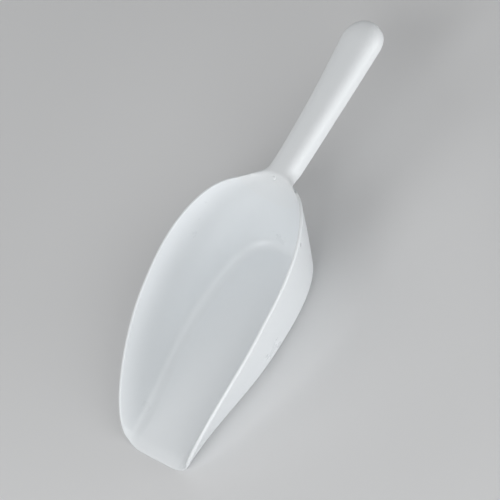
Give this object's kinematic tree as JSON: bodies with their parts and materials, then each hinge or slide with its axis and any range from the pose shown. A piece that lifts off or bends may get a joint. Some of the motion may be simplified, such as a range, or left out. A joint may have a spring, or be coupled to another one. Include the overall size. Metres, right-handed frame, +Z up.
{
  "type": "ice scoop",
  "caption": "White plastic ice scoop with a flat-bottomed bowl, straight front lip, leaning sides, rounded back and a channel-section handle.",
  "frame": {"origin": "centre of the bounding box, at its lowest height, on the plane of the flat underside of the bowl", "axes": "+X from the lip towards the end of the handle, the longest extent; +Z up, out of the open bowl; the part is the same on both sides of the XZ plane"},
  "size_m": [0.3072, 0.1006, 0.0638],
  "materials": {
    "bowl_plastic": "smooth glossy white polypropylene, slightly cloudy",
    "handle_plastic": "smooth glossy white polypropylene with faint sink marks"
  },
  "bodies": {
    "root": {"bowl_floor": "bowl_plastic", "front_lip": "bowl_plastic", "left_side_wall": "bowl_plastic", "right_side_wall": "bowl_plastic", "back_wall": "bowl_plastic", "neck": "handle_plastic", "handle_grip": "handle_plastic", "handle_end": "handle_plastic", "handle_rib": "handle_plastic", "gate_mark": "handle_plastic"}
  },
  "joints": []
}
